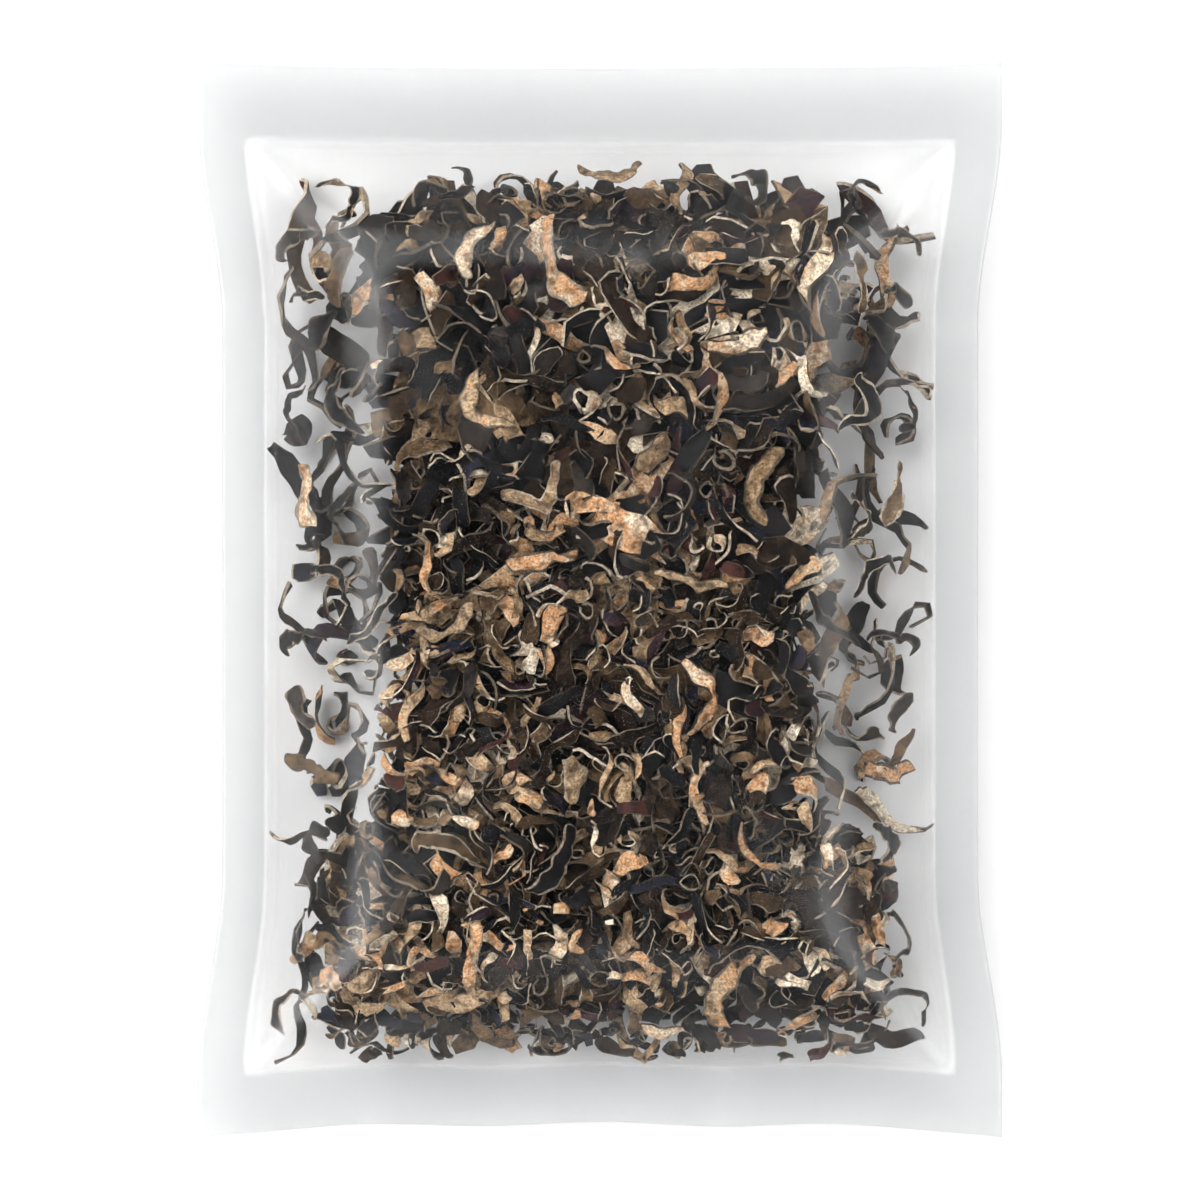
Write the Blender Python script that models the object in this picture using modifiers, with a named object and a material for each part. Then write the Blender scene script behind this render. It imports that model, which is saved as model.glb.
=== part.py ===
"""A clear pouch, heat-sealed on all four sides, packed with shredded dried wood ear mushroom.

It lies on its back: +Z is up, +Y runs to the pouch's top edge, and the origin is in the middle of the
footprint, on the surface that it lies on. Lengths are written in millimetres times MM, so in metres.
"""

import math

import bpy

MM = 0.001

# the pouch, flat size and seals
HALF_WIDTH = 100.5 * MM  # at the corners
HALF_HEIGHT = 134.4 * MM
SIDE_PINCH = 6.0 * MM  # the full pouch draws its long sides in by this much
TOP_DIP = 1.5 * MM
BOTTOM_DIP = 3.4 * MM
SIDE_SEAL = 12.0 * MM
TOP_SEAL = 19.0 * MM
BOTTOM_SEAL = 15.0 * MM
FILM = 0.3 * MM
GAP = 0.3 * MM  # between pieces that touch

# the pouch, filled
SEAL_LEVEL = 10.0 * MM  # the seal's middle plane above the surface
SEAL_WAVE = 1.2 * MM
FRONT_RISE = 23.0 * MM
FRONT_CROWN = 6.5 * MM  # what the middle rises above the shoulders
FRONT_SHOULDER = 34.0 * MM  # from the seal line in to where the front levels out
BACK_SHOULDER = 16.0 * MM
CORNER_BLEND = 0.14  # how softly the two slopes meet along a corner's crease

# the fill
LAYER = 9.0 * MM  # room for the larger shreds between the packed fill and the front film
FILL_CLEARANCE = 0.8 * MM
FILL_HALF_WIDTH = 73.0 * MM
FILL_WAIST = 4.0 * MM  # how much narrower the fill is half way up the pouch
FILL_TOP = 103.0 * MM
FILL_BOTTOM = -109.0 * MM
FILL_RAGGED = 2.2 * MM
SIDE_RAGGED_TURN = 2.3  # radians from one row of the fill's side to the next
END_RAGGED_TURN = 2.1  # radians from one column of the fill's end to the next
END_RAGGED_SHARE = 0.012  # how much of its height the fill's end line wanders by
CORNER_CUT_X, CORNER_CUT_Y = 0.06, 0.07  # how much the fill's corners are drawn in
FILL_DROP = 5 * MM  # how far down the first extrusion goes, before its points are set

# the shreds
SHRED_THICKNESS = 0.9 * MM
SHRED_CELLS = 9
TIP_SHARE = 0.45  # a shred's width at its ends, as a share of its middle

# how a shred curls, all in degrees: bend along its whole length, extra hook at its far end,
# swing of an S, roll about its own length at the near end, and the twist from there to the far end
CURLS = {
    "strip": (12, 0, 10, 14, 20),
    "arc": (110, 0, 0, 38, -30),
    "hook": (60, 150, 0, 48, -50),
    "loop": (265, 0, 0, 52, -14),
    "wave": (0, 0, 58, 44, -60),
    "chip": (35, 0, 0, 10, 24),
    "strand": (70, 0, 30, 60, -20),
}

# name, curl, x, y, turn in degrees, length, width; made on the left and again mirrored on the right
RIM_SHREDS = [
    ("top_corner_loop", "loop", -66, 99, 100, 27, 3.4),
    ("top_corner_hook", "hook", -74, 89, 205, 15, 3.6),
    ("upper_pale_strip", "strip", -64, 79, 262, 16, 4.4),
    ("upper_side_curl", "arc", -73.5, 75, 190, 11, 3.2),
    ("upper_side_chip", "chip", -69, 66, 240, 11, 5.4),
    ("shoulder_strand", "strand", -75, 47, 262, 19, 2.6),
    ("shoulder_strip", "wave", -63, 49, 285, 21, 4.2),
    ("middle_tan_strip", "strip", -72.5, 26, 280, 18, 5.2),
    ("middle_wave", "wave", -64, 21, 268, 17, 3.4),
    ("middle_curl", "arc", -68, 5, 150, 15, 3.2),
    ("waist_hook", "hook", -73, -11, 190, 17, 3.4),
    ("waist_strip", "strip", -57, -5, 48, 18, 3.8),
    ("waist_bud", "chip", -74, -27, 300, 12, 4.4),
    ("lower_pale_strip", "strip", -71, -42, 352, 17, 4.8),
    ("lower_side_wave", "wave", -70, -60, 250, 15, 3.6),
    ("bottom_side_strand", "strand", -75, -84, 268, 18, 2.4),
    ("bottom_corner_loop", "loop", -76, -102, 200, 25, 3.0),
]

# name, curl, x, y, turn, length, width; each made once, on top of the fill and at its two ends
TOP_SHREDS = [
    ("top_arch", "arc", 3, 107.5, 0, 19, 3.2),
    ("top_left_curl", "loop", -36, 103, 60, 20, 3.2),
    ("top_right_curl", "loop", 37, 103, 110, 20, 3.2),
    ("tan_hook", "hook", -8, 84, 285, 29, 5.4),
    ("pale_curl", "arc", -29, 86, 250, 18, 4.2),
    ("shoulder_chip", "chip", 33, 64, 20, 15, 6.4),
    ("long_wave", "wave", -27, 50, 300, 25, 4.6),
    ("left_hook", "hook", -42, 35, 200, 20, 4.2),
    ("knotted_wave", "wave", -17, 29, 35, 22, 4.6),
    ("middle_chip", "chip", 13, 36, 60, 13, 6.0),
    ("right_hook", "hook", 42, 28, 250, 25, 4.8),
    ("middle_strip", "strip", -14, 11, 10, 19, 4.8),
    ("right_strip", "strip", 22, 6, 350, 18, 4.0),
    ("left_arc", "arc", -38, -4, 30, 17, 3.8),
    ("upright_wave", "wave", 24, -24, 95, 25, 4.6),
    ("dark_leaf", "strip", -12, -64, 55, 21, 5.2),
    ("cream_chip", "chip", -7, -44, 100, 13, 6.4),
    ("cream_hook", "hook", -38, -62, 160, 21, 4.8),
    ("right_arc", "arc", 40, -60, 320, 18, 4.2),
    ("sickle", "hook", 34, -96, 235, 28, 5.6),
    ("bottom_hook", "hook", -26, -106, 300, 17, 3.8),
]

FILM_COLOUR = (0.90, 0.91, 0.92)
FILM_ALPHA = 0.22
FILL_COLOUR = (0.075, 0.062, 0.052)
DARK_COLOUR = (0.035, 0.033, 0.036)
TAN_COLOUR = (0.46, 0.33, 0.22)


def ease(low, high, value):
    """0 up to low, 1 from high on, and a smooth rise between."""
    share = min(1.0, max(0.0, (value - low) / (high - low)))
    return share * share * (3.0 - 2.0 * share)


def lerp(start, end, share):
    return start + (end - start) * share


# ---- the pouch's outline and its two surfaces


def side_edge(y):
    """The pouch's half width at y."""
    return HALF_WIDTH - SIDE_PINCH * (1.0 - ease(68 * MM, 120 * MM, abs(y)))


def end_edge(x, up):
    """The y of the pouch's top or bottom edge at x."""
    dip = 1.0 - (x / HALF_WIDTH) ** 4
    if up:
        return HALF_HEIGHT - TOP_DIP * dip
    wave = 0.5 * MM * math.cos(x / (9.5 * MM))
    return -HALF_HEIGHT + (BOTTOM_DIP + wave) * dip


def side_line(y):
    """The half width of the room inside the seals."""
    return side_edge(y) * (1.0 - SIDE_SEAL / HALF_WIDTH)


def end_line(x, up):
    return end_edge(x, up) * (1.0 - (TOP_SEAL if up else BOTTOM_SEAL) / HALF_HEIGHT)


def seal_level(x, y):
    """The seal isn't quite flat: it waves along the long sides and across the ends."""
    along = math.sin(y / (21 * MM)) * ease(60 * MM, 100 * MM, abs(x))
    across = math.sin(x / (17 * MM)) * ease(95 * MM, 132 * MM, abs(y))
    return SEAL_LEVEL + SEAL_WAVE * (along + across) / 2.0


def slope_share(x, y, shoulder):
    """0 on the seal line, 1 from the shoulder inwards, and creased softly along each corner."""
    to_side = (side_line(y) - abs(x)) / shoulder
    to_end = abs(end_line(x, y > 0) - y) / shoulder
    if abs(y) > abs(end_line(x, y > 0)):
        to_end = 0.0
    to_side = min(1.3, max(0.0, to_side))
    to_end = min(1.3, to_end)
    mix = max(0.0, CORNER_BLEND - abs(to_side - to_end)) / CORNER_BLEND
    near = min(to_side, to_end) - CORNER_BLEND * mix * mix / 4.0
    near = min(1.0, max(0.0, near))
    return 1.0 - (1.0 - near) ** 2


def front_inside(x, y):
    """The height of the front film's inner face."""
    share = slope_share(x, y, FRONT_SHOULDER)
    crown = (1.0 - (x / HALF_WIDTH) ** 2) * (1.0 - (y / HALF_HEIGHT) ** 2)
    return seal_level(x, y) + GAP / 2 + share * (FRONT_RISE + FRONT_CROWN * crown)


def back_inside(x, y):
    """The height of the back film's inner face, which lies flat inside its shoulders."""
    return lerp(seal_level(x, y) - GAP / 2, FILM, slope_share(x, y, BACK_SHOULDER))


# ---- the fill's outline and top


def fill_half_width(y):
    waist = FILL_WAIST * math.cos(math.pi * y / (FILL_TOP - FILL_BOTTOM)) ** 2
    return FILL_HALF_WIDTH - waist


def fill_top(x, y):
    return front_inside(x, y) - LAYER


def layer_middle(x, y):
    """Half way between the front film and what lies below it: the fill, or past its rim the back."""
    rim = max(abs(x) - fill_half_width(y), y - FILL_TOP, FILL_BOTTOM - y)
    off_fill = ease(-4 * MM, 5 * MM, rim)
    below = lerp(fill_top(x, y), max(back_inside(x, y), fill_top(x, y) - 6 * MM), off_fill)
    return (front_inside(x, y) + below) / 2.0


# ---- making objects


def principled(name, colour, roughness, alpha=1.0):
    material = bpy.data.materials.new(name)
    material.use_nodes = True
    shader = material.node_tree.nodes["Principled BSDF"]
    shader.inputs["Base Color"].default_value = (*colour, 1.0)
    shader.inputs["Roughness"].default_value = roughness
    shader.inputs["Metallic"].default_value = 0.0
    shader.inputs["Alpha"].default_value = alpha
    return material


def new_grid(name, columns, rows, material, collection):
    """A flat grid of columns by rows cells, named, with its material, in its collection."""
    bpy.ops.mesh.primitive_grid_add(x_subdivisions=columns, y_subdivisions=rows, size=1.0)
    grid = bpy.context.object
    grid.name = name
    grid.data.name = name
    grid.data.materials.append(material)
    for other in list(grid.users_collection):
        other.objects.unlink(grid)
    collection.objects.link(grid)
    return grid


def shape_grid(grid, columns, rows, place):
    """Moves each of the grid's points to place(column, row)."""
    for point in grid.data.vertices:
        column = round((point.co.x + 0.5) * columns)
        row = round((point.co.y + 0.5) * rows)
        point.co = place(column, row)


def thicken(grid, thickness, offset):
    solid = grid.modifiers.new("thickness", "SOLIDIFY")
    solid.thickness = thickness
    solid.offset = offset
    grid.data.shade_smooth()
    grid.data.set_sharp_from_angle(angle=math.radians(50))


def stops(seal_cells, slope_cells, flat_cells, seal, slope, whole):
    """Distances in from one edge to the middle: evenly over the seal, the slope and the flat."""
    found = [seal * n / seal_cells for n in range(seal_cells)]
    found += [seal + slope * (n / slope_cells) ** 1.25 for n in range(slope_cells)]
    start = seal + slope
    found += [start + (whole - start) * n / flat_cells for n in range(flat_cells + 1)]
    return found


def film(name, inside, shoulder, offset, material, collection):
    """One film: a grid laid over the seal, the slope and the middle, then given its thickness."""
    across = stops(1, 5, 3, SIDE_SEAL, shoulder, HALF_WIDTH)
    above = stops(1, 5, 4, TOP_SEAL, shoulder, HALF_HEIGHT)
    below = stops(1, 5, 4, BOTTOM_SEAL, shoulder, HALF_HEIGHT)
    columns = 2 * (len(across) - 1)
    rows = len(above) + len(below) - 2

    def place(column, row):
        side = -1.0 if column < columns / 2 else 1.0
        in_from_side = across[min(column, columns - column)]
        up = row > rows / 2
        in_from_end = above[rows - row] if up else below[row]
        flat_x = side * (HALF_WIDTH - in_from_side)
        y = end_edge(flat_x, up) * (1.0 - in_from_end / HALF_HEIGHT)
        x = side * side_edge(y) * (1.0 - in_from_side / HALF_WIDTH)
        return (x, y, inside(x, y))

    sheet = new_grid(name, columns, rows, material, collection)
    shape_grid(sheet, columns, rows, place)
    thicken(sheet, FILM, offset)
    return sheet


def packed_fill(material, collection):
    """The small shreds as one closed mound: a grid over their top, extruded down to the back film."""
    columns = 14
    rows = 20
    top = new_grid("packed_shreds", columns, rows, material, collection)

    def outline(column, row):
        across = 2.0 * column / columns - 1.0
        along = 2.0 * row / rows - 1.0
        y = lerp(FILL_BOTTOM, FILL_TOP, row / rows)
        ragged = FILL_RAGGED * math.sin(row * SIDE_RAGGED_TURN + 0.4) * abs(across) ** 3
        x = across * (fill_half_width(y) + ragged - FILL_RAGGED)
        corner = ease(0.55, 1.0, abs(across)) * ease(0.72, 1.0, abs(along))
        at_end = ease(0.8, 1.0, abs(along))
        end_ragged = END_RAGGED_SHARE * (1.0 + math.sin(column * END_RAGGED_TURN)) * at_end
        y = y * (1.0 - CORNER_CUT_Y * corner) * (1.0 - end_ragged)
        return x * (1.0 - CORNER_CUT_X * corner), y

    def place(column, row):
        x, y = outline(column, row)
        return (x, y, fill_top(x, y))

    shape_grid(top, columns, rows, place)
    bpy.ops.object.select_all(action="DESELECT")
    top.select_set(True)
    bpy.context.view_layer.objects.active = top
    bpy.ops.object.mode_set(mode="EDIT")
    bpy.ops.mesh.select_all(action="SELECT")
    bpy.ops.mesh.extrude_region_move(TRANSFORM_OT_translate={"value": (0.0, 0.0, -FILL_DROP)})
    bpy.ops.object.mode_set(mode="OBJECT")
    for point in top.data.vertices:
        if point.select:
            x, y, _ = point.co
            point.co.z = back_inside(x, y) + FILL_CLEARANCE
    bpy.ops.object.mode_set(mode="EDIT")
    bpy.ops.mesh.select_all(action="SELECT")
    bpy.ops.mesh.normals_make_consistent(inside=False)
    bpy.ops.object.mode_set(mode="OBJECT")
    top.data.shade_smooth()
    return top


def shred(name, curl, x, y, turn, length, width, mirrored, material, collection):
    """A strip one cell wide that bends, hooks, swings and twists along its middle line."""
    bend, hook, swing, roll, twist = (math.radians(angle) for angle in CURLS[curl])
    turn = math.radians(turn)
    side = -1.0 if mirrored else 1.0
    step = length * MM / SHRED_CELLS

    def heading(share):
        along = 2.0 * share - 1.0
        return turn + bend * along / 2 + hook * max(0.0, along) ** 3 + swing * math.sin(math.pi * along)

    line = [(0.0, 0.0)]
    for cell in range(SHRED_CELLS):
        angle = heading((cell + 0.5) / SHRED_CELLS)
        line.append((line[-1][0] + step * math.cos(angle), line[-1][1] + step * math.sin(angle)))
    middle_x = (min(p[0] for p in line) + max(p[0] for p in line)) / 2
    middle_y = (min(p[1] for p in line) + max(p[1] for p in line)) / 2

    def place(column, row):
        share = column / SHRED_CELLS
        px = line[column][0] - middle_x + x * MM
        py = line[column][1] - middle_y + y * MM
        angle = heading(share)
        half = width * MM / 2 * lerp(TIP_SHARE, 1.0, math.sin(math.pi * min(1.0, max(0.0, share))) ** 0.6)
        out = half if row else -half
        rolled = roll + twist * share
        flat = out * math.cos(rolled)
        px -= flat * math.sin(angle)
        py += flat * math.cos(angle)
        return (side * px, py, layer_middle(px, py) + out * math.sin(rolled))

    strip = new_grid(name, SHRED_CELLS, 1, material, collection)
    shape_grid(strip, SHRED_CELLS, 1, place)
    if mirrored:
        strip.data.flip_normals()
    thicken(strip, SHRED_THICKNESS, 0.0)
    return strip


def main():
    for old in list(bpy.data.objects):
        bpy.data.objects.remove(old, do_unlink=True)
    pouch = bpy.data.collections.new("wood_ear_pouch")
    bpy.context.scene.collection.children.link(pouch)

    clear = principled("clear_film", FILM_COLOUR, 0.12, FILM_ALPHA)
    film("front_film", front_inside, FRONT_SHOULDER, 1.0, clear, pouch)
    film("back_film", back_inside, BACK_SHOULDER, -1.0, clear, pouch)

    packed_fill(principled("packed_wood_ear", FILL_COLOUR, 0.75), pouch)
    dark = principled("wood_ear_dark_face", DARK_COLOUR, 0.45)
    tan = principled("wood_ear_tan_face", TAN_COLOUR, 0.85)
    for name, *shape in RIM_SHREDS:
        finish = tan if "pale" in name or "tan" in name else dark
        shred("shred_" + name + "_left", *shape, False, finish, pouch)
        shred("shred_" + name + "_right", *shape, True, finish, pouch)
    for name, *shape in TOP_SHREDS:
        finish = dark if "dark" in name or shape[0] == "loop" else tan
        shred("shred_" + name, *shape, False, finish, pouch)


main()
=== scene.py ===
# %% [markdown]
# # A clear pouch of shredded wood ear
#
# The object is a flat clear pouch, heat-sealed on all four sides and packed with dried wood ear
# mushroom that was cut into strips before it was dried. Each strip is black and smooth on one face
# and tan and velvety on the other, and it has curled as it dried. We keep the sizes of the packed
# model, and make three things around it: the two films, the larger shreds that the model places one
# by one, and the thousands of small shreds that fill the rest.

# %% Load the frame
import math
import random

import bmesh
import bpy
import numpy as np
from mathutils import Euler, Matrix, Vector, noise
from mathutils.bvhtree import BVHTree

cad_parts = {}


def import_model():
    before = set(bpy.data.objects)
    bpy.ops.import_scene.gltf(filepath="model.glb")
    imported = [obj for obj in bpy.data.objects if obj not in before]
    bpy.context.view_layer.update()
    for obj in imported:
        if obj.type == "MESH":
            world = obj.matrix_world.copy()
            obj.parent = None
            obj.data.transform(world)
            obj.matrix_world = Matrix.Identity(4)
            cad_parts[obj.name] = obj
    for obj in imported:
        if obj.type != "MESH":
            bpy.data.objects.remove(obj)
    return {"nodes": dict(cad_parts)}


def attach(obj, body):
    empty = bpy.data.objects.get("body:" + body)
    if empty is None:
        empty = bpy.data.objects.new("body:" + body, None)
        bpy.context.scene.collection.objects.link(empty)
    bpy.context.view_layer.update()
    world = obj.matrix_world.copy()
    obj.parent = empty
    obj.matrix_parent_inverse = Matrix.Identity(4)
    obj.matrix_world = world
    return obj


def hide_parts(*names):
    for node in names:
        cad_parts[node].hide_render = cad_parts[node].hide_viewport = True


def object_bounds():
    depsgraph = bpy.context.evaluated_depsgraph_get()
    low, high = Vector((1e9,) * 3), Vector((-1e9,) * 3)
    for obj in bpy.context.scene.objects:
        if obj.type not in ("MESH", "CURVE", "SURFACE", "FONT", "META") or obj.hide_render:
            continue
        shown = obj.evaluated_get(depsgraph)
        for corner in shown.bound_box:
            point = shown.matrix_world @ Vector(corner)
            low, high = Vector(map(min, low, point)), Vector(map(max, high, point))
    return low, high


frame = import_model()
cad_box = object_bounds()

MM = 0.001
noise.seed_set(11)  # vector noise takes its offsets from this seed, so every run gives the same shreds
print("nodes", len(frame["nodes"]), "box", [round(v / MM, 1) for c in cad_box for v in c])

# %% [markdown]
# ## Small helpers
#
# Operators act on whatever is selected, so every step starts by picking the one object it is about.
# A modifier is added, set up and applied in one call, which keeps the recipes below short.

# %% Picking and modifying
def pick(*objects):
    bpy.ops.object.select_all(action="DESELECT")
    for each in objects:
        each.select_set(True)
    bpy.context.view_layer.objects.active = objects[-1]


def modify(piece, kind, **settings):
    """Adds one modifier, sets it up and applies it."""
    pick(piece)
    modifier = piece.modifiers.new(kind.lower(), kind)
    for name, value in settings.items():
        setattr(modifier, name, value)
    bpy.ops.object.modifier_apply(modifier=modifier.name)


def ease(low, high, value):
    """0 up to low, 1 from high on, and a smooth rise between; for numbers and arrays."""
    share = np.clip((value - low) / (high - low), 0.0, 1.0)
    return share * share * (3.0 - 2.0 * share)


def points_of(mesh):
    flat = np.empty(len(mesh.vertices) * 3, np.float32)
    mesh.vertices.foreach_get("co", flat)
    return flat.reshape(-1, 3).astype(float)


def set_points(mesh, points):
    mesh.vertices.foreach_set("co", np.asarray(points, np.float32).ravel())
    mesh.update()


def set_attribute(mesh, name, kind, values):
    layer = mesh.attributes.new(name, kind, "POINT")
    key = "vector" if kind == "FLOAT_VECTOR" else "value"
    layer.data.foreach_set(key, np.asarray(values, np.float32).ravel())


# %% [markdown]
# ## Shader maths as Python
#
# A pattern is easier to read as a formula than as a row of nodes. A Wire is a socket: adding or
# multiplying wires adds the Math nodes that do it, and make() adds any other kind of node.

# %% The wire class
class Wire:
    """A shader socket whose sums, differences and products are Math nodes."""

    def __init__(self, tree, socket):
        self.tree = tree
        self.socket = socket

    def make(self, kind, settings, inputs, output=0):
        node = self.tree.nodes.new(kind)
        for name, value in settings.items():
            if name == "stops":
                set_stops(node.color_ramp, value)
            else:
                setattr(node, name, value)
        for key, value in inputs.items():
            if isinstance(value, Wire):
                self.tree.links.new(value.socket, node.inputs[key])
            else:
                node.inputs[key].default_value = value
        return Wire(self.tree, node.outputs[output])

    def math(self, operation, first, second):
        return self.make("ShaderNodeMath", {"operation": operation}, {0: first, 1: second})

    def __add__(self, other):
        return self.math("ADD", self, other)

    def __radd__(self, other):
        return self.math("ADD", other, self)

    def __sub__(self, other):
        return self.math("SUBTRACT", self, other)

    def __rsub__(self, other):
        return self.math("SUBTRACT", other, self)

    def __mul__(self, other):
        return self.math("MULTIPLY", self, other)

    def __rmul__(self, other):
        return self.math("MULTIPLY", other, self)

    def between(self, low, high):
        """0 where this is under low, 1 where it is over high, and an even rise between."""
        inputs = {"Value": self, "From Min": low, "From Max": high}
        return self.make("ShaderNodeMapRange", {"clamp": True}, inputs)

    def blend(self, first, second):
        """The first colour where this is 0 and the second where it is 1."""
        settings = {"data_type": "RGBA", "clamp_factor": True}
        return self.make("ShaderNodeMix", settings, {0: self, 6: first, 7: second}, 2)


def set_stops(ramp, stops):
    while len(ramp.elements) < len(stops):
        ramp.elements.new(1.0)
    for element, (place, colour) in zip(ramp.elements, stops):
        element.position = place
        element.color = (*colour, 1.0)


def start_material(name):
    """An empty material: (material, tree, a wire that carries object coordinates)."""
    material = bpy.data.materials.new(name)
    material.use_nodes = True
    tree = material.node_tree
    tree.nodes.clear()
    place = tree.nodes.new("ShaderNodeTexCoord")
    return material, tree, Wire(tree, place.outputs["Object"])


def finish_material(wire, shader):
    output = wire.tree.nodes.new("ShaderNodeOutputMaterial")
    wire.tree.links.new(shader.socket, output.inputs["Surface"])


def cloud(place, size, detail=3.0, roughness=0.5):
    """Noise whose blotches are about size across, from 0 to 1."""
    inputs = {"Vector": place, "Scale": 1.0 / size, "Detail": detail, "Roughness": roughness}
    return place.make("ShaderNodeTexNoise", {}, inputs)


print("helpers ready")

# %% [markdown]
# ## The stage
#
# A product on pure white: a pale floor, a camera straight above and soft lights from the sides, so
# that the flat top of the film mirrors nothing and its slopes catch long pale reflections. The lens
# is long, which keeps the pouch's edges parallel.

# %% Floor, world and camera
CAMERA_HEIGHT = 1.2
FIELD = 0.300  # how much of the seal's plane the picture spans
FOCUS_LEVEL = 10 * MM
FLOOR_TONES = (0.74, 0.76)
# heights on the studio's sphere, 0 at the horizon and 1 overhead
OVERHEAD = (0.86, 0.97)  # where the ring of light starts to fall off, and where it ends
RING_FOOT = (0.3, 0.7)  # where the ring starts to rise from its foot, and where it is full
OVERHEAD_SHARE, FOOT_SHARE = 0.05, 0.4  # how much of the ring's light is left overhead and at its foot
RING_LIGHT, KEY_LIGHT, STRIP_LIGHT = 1.15, 4.2, 4.3
KEY_WAY = (-0.47, 0.53, 0.70)
KEY_SPREAD = (0.86, 0.95)  # the cosines at which the key light's soft edge starts and ends
STRIP_NEAR, STRIP_FAR = (0.50, 0.60), (0.84, 0.93)  # a strip's soft edges, by how far sideways it is
STRIP_END = (0.2, 0.5)  # its soft ends, by how far endways they are
RIGHT_DIMMED = 0.42  # the right strip is dimmer than the left one by this share


def pale_floor():
    bpy.ops.mesh.primitive_plane_add(size=6.0, location=(0, 0, -0.2 * MM))
    floor = bpy.context.object
    floor.name = "studio_floor"
    material, tree, place = start_material("floor_paper")
    grain = cloud(place, 4 * MM)
    colour = grain.blend(*[(tone, tone, tone, 1) for tone in FLOOR_TONES])
    shader = place.make("ShaderNodeBsdfPrincipled", {}, {"Base Color": colour, "Roughness": 0.9})
    finish_material(place, shader)
    floor.data.materials.append(material)


def camera():
    data = bpy.data.cameras.new("camera")
    data.sensor_width = 36.0
    data.lens = 36.0 * (CAMERA_HEIGHT - FOCUS_LEVEL) / FIELD
    data.clip_start = 0.05
    eye = bpy.data.objects.new("camera", data)
    eye.location = (0, 0, CAMERA_HEIGHT)
    bpy.context.scene.collection.objects.link(eye)
    bpy.context.scene.camera = eye


def world():
    """A white studio, dark straight overhead, where the flat film would mirror it."""
    made = bpy.data.worlds.new("studio")
    made.use_nodes = True
    tree = made.node_tree
    way = Wire(tree, tree.nodes.new("ShaderNodeTexCoord").outputs["Generated"])
    east, north, up = [way.make("ShaderNodeSeparateXYZ", {}, {0: way}, n) for n in range(3)]
    overhead = up.between(*OVERHEAD)
    key = (east * KEY_WAY[0] + north * KEY_WAY[1] + up * KEY_WAY[2]).between(*KEY_SPREAD)
    sideways, endways = east.math("ABSOLUTE", east, 0), north.math("ABSOLUTE", north, 0)
    strips = sideways.between(*STRIP_NEAR) * (1 - sideways.between(*STRIP_FAR))
    strips = strips * (1 - endways.between(*STRIP_END)) * up.between(0.0, 0.2)
    strips = strips * (1.0 - RIGHT_DIMMED * east.between(-0.1, 0.1))
    ring = 1 - overhead * (1 - OVERHEAD_SHARE)
    ring = ring * (FOOT_SHARE + (1 - FOOT_SHARE) * up.between(*RING_FOOT))
    strength = RING_LIGHT * ring + KEY_LIGHT * key + STRIP_LIGHT * strips
    tree.nodes["Background"].inputs["Color"].default_value = (1, 1, 1, 1)
    tree.links.new(strength.socket, tree.nodes["Background"].inputs["Strength"])
    made.cycles.sampling_method = "NONE"  # light this broad needs no aiming, and it renders faster
    bpy.context.scene.world = made


pale_floor()
camera()
world()
bpy.context.scene.view_settings.view_transform = "Standard"
bpy.context.scene.cycles.transparent_max_bounces = 24  # light passes four faces of film each way
bpy.context.scene.cycles.max_bounces = 8
bpy.context.scene.cycles.diffuse_bounces = 2  # little light comes back from a near black fill
print("camera lens", round(bpy.context.scene.camera.data.lens, 1))

# %% [markdown]
# ## The two films
#
# Two flat sheets are sealed on all four sides and filled. The seal pulls in as the pouch fills, so
# the long sides are pinched and the ends dip. Inside the seal the front film rises over a shoulder
# to a low crown, and the back film drops to the surface it lies on. These are the curves that the
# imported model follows, and a fine grid laid over them makes a smooth film.

# %% The pouch's curves
HALF_WIDTH, HALF_HEIGHT = 100.5 * MM, 134.4 * MM
SIDE_SEAL, TOP_SEAL, BOTTOM_SEAL = 12 * MM, 19 * MM, 15 * MM
SEAL_LEVEL = 10 * MM
FILM = 0.3 * MM
SIDE_PINCH, TOP_DIP, BOTTOM_DIP = 6 * MM, 1.5 * MM, 3.4 * MM
FRONT_RISE, FRONT_CROWN = 23 * MM, 6.5 * MM
FRONT_SHOULDER, BACK_SHOULDER = 34 * MM, 16 * MM
CORNER_BLEND = 0.14  # how softly the two slopes meet along a corner's crease


def side_edge(y):
    """The pouch's half width at y."""
    return HALF_WIDTH - SIDE_PINCH * (1.0 - ease(68 * MM, 120 * MM, abs(y)))


def end_edge(x, up):
    """The y of the pouch's top or bottom edge at x."""
    dip = 1.0 - (x / HALF_WIDTH) ** 4
    wave = 0.5 * MM * np.cos(x / (9.5 * MM))
    return np.where(up, HALF_HEIGHT - TOP_DIP * dip, (BOTTOM_DIP + wave) * dip - HALF_HEIGHT)


def inside_by(x, y):
    """How far a point is inside each seal: (from the nearer side, from the nearer end)."""
    up = y > 0
    end_share = 1.0 - np.where(up, TOP_SEAL, BOTTOM_SEAL) / HALF_HEIGHT
    from_side = side_edge(y) * (1.0 - SIDE_SEAL / HALF_WIDTH) - abs(x)
    from_end = np.where(up, 1, -1) * (end_edge(x, up) * end_share - y)
    return from_side, from_end


def seal_level(x, y):
    """The seal waves a little along the long sides and across the ends."""
    along = np.sin(y / (21 * MM)) * ease(60 * MM, 100 * MM, abs(x))
    across = np.sin(x / (17 * MM)) * ease(95 * MM, 132 * MM, abs(y))
    return SEAL_LEVEL + 0.6 * MM * (along + across)


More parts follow.
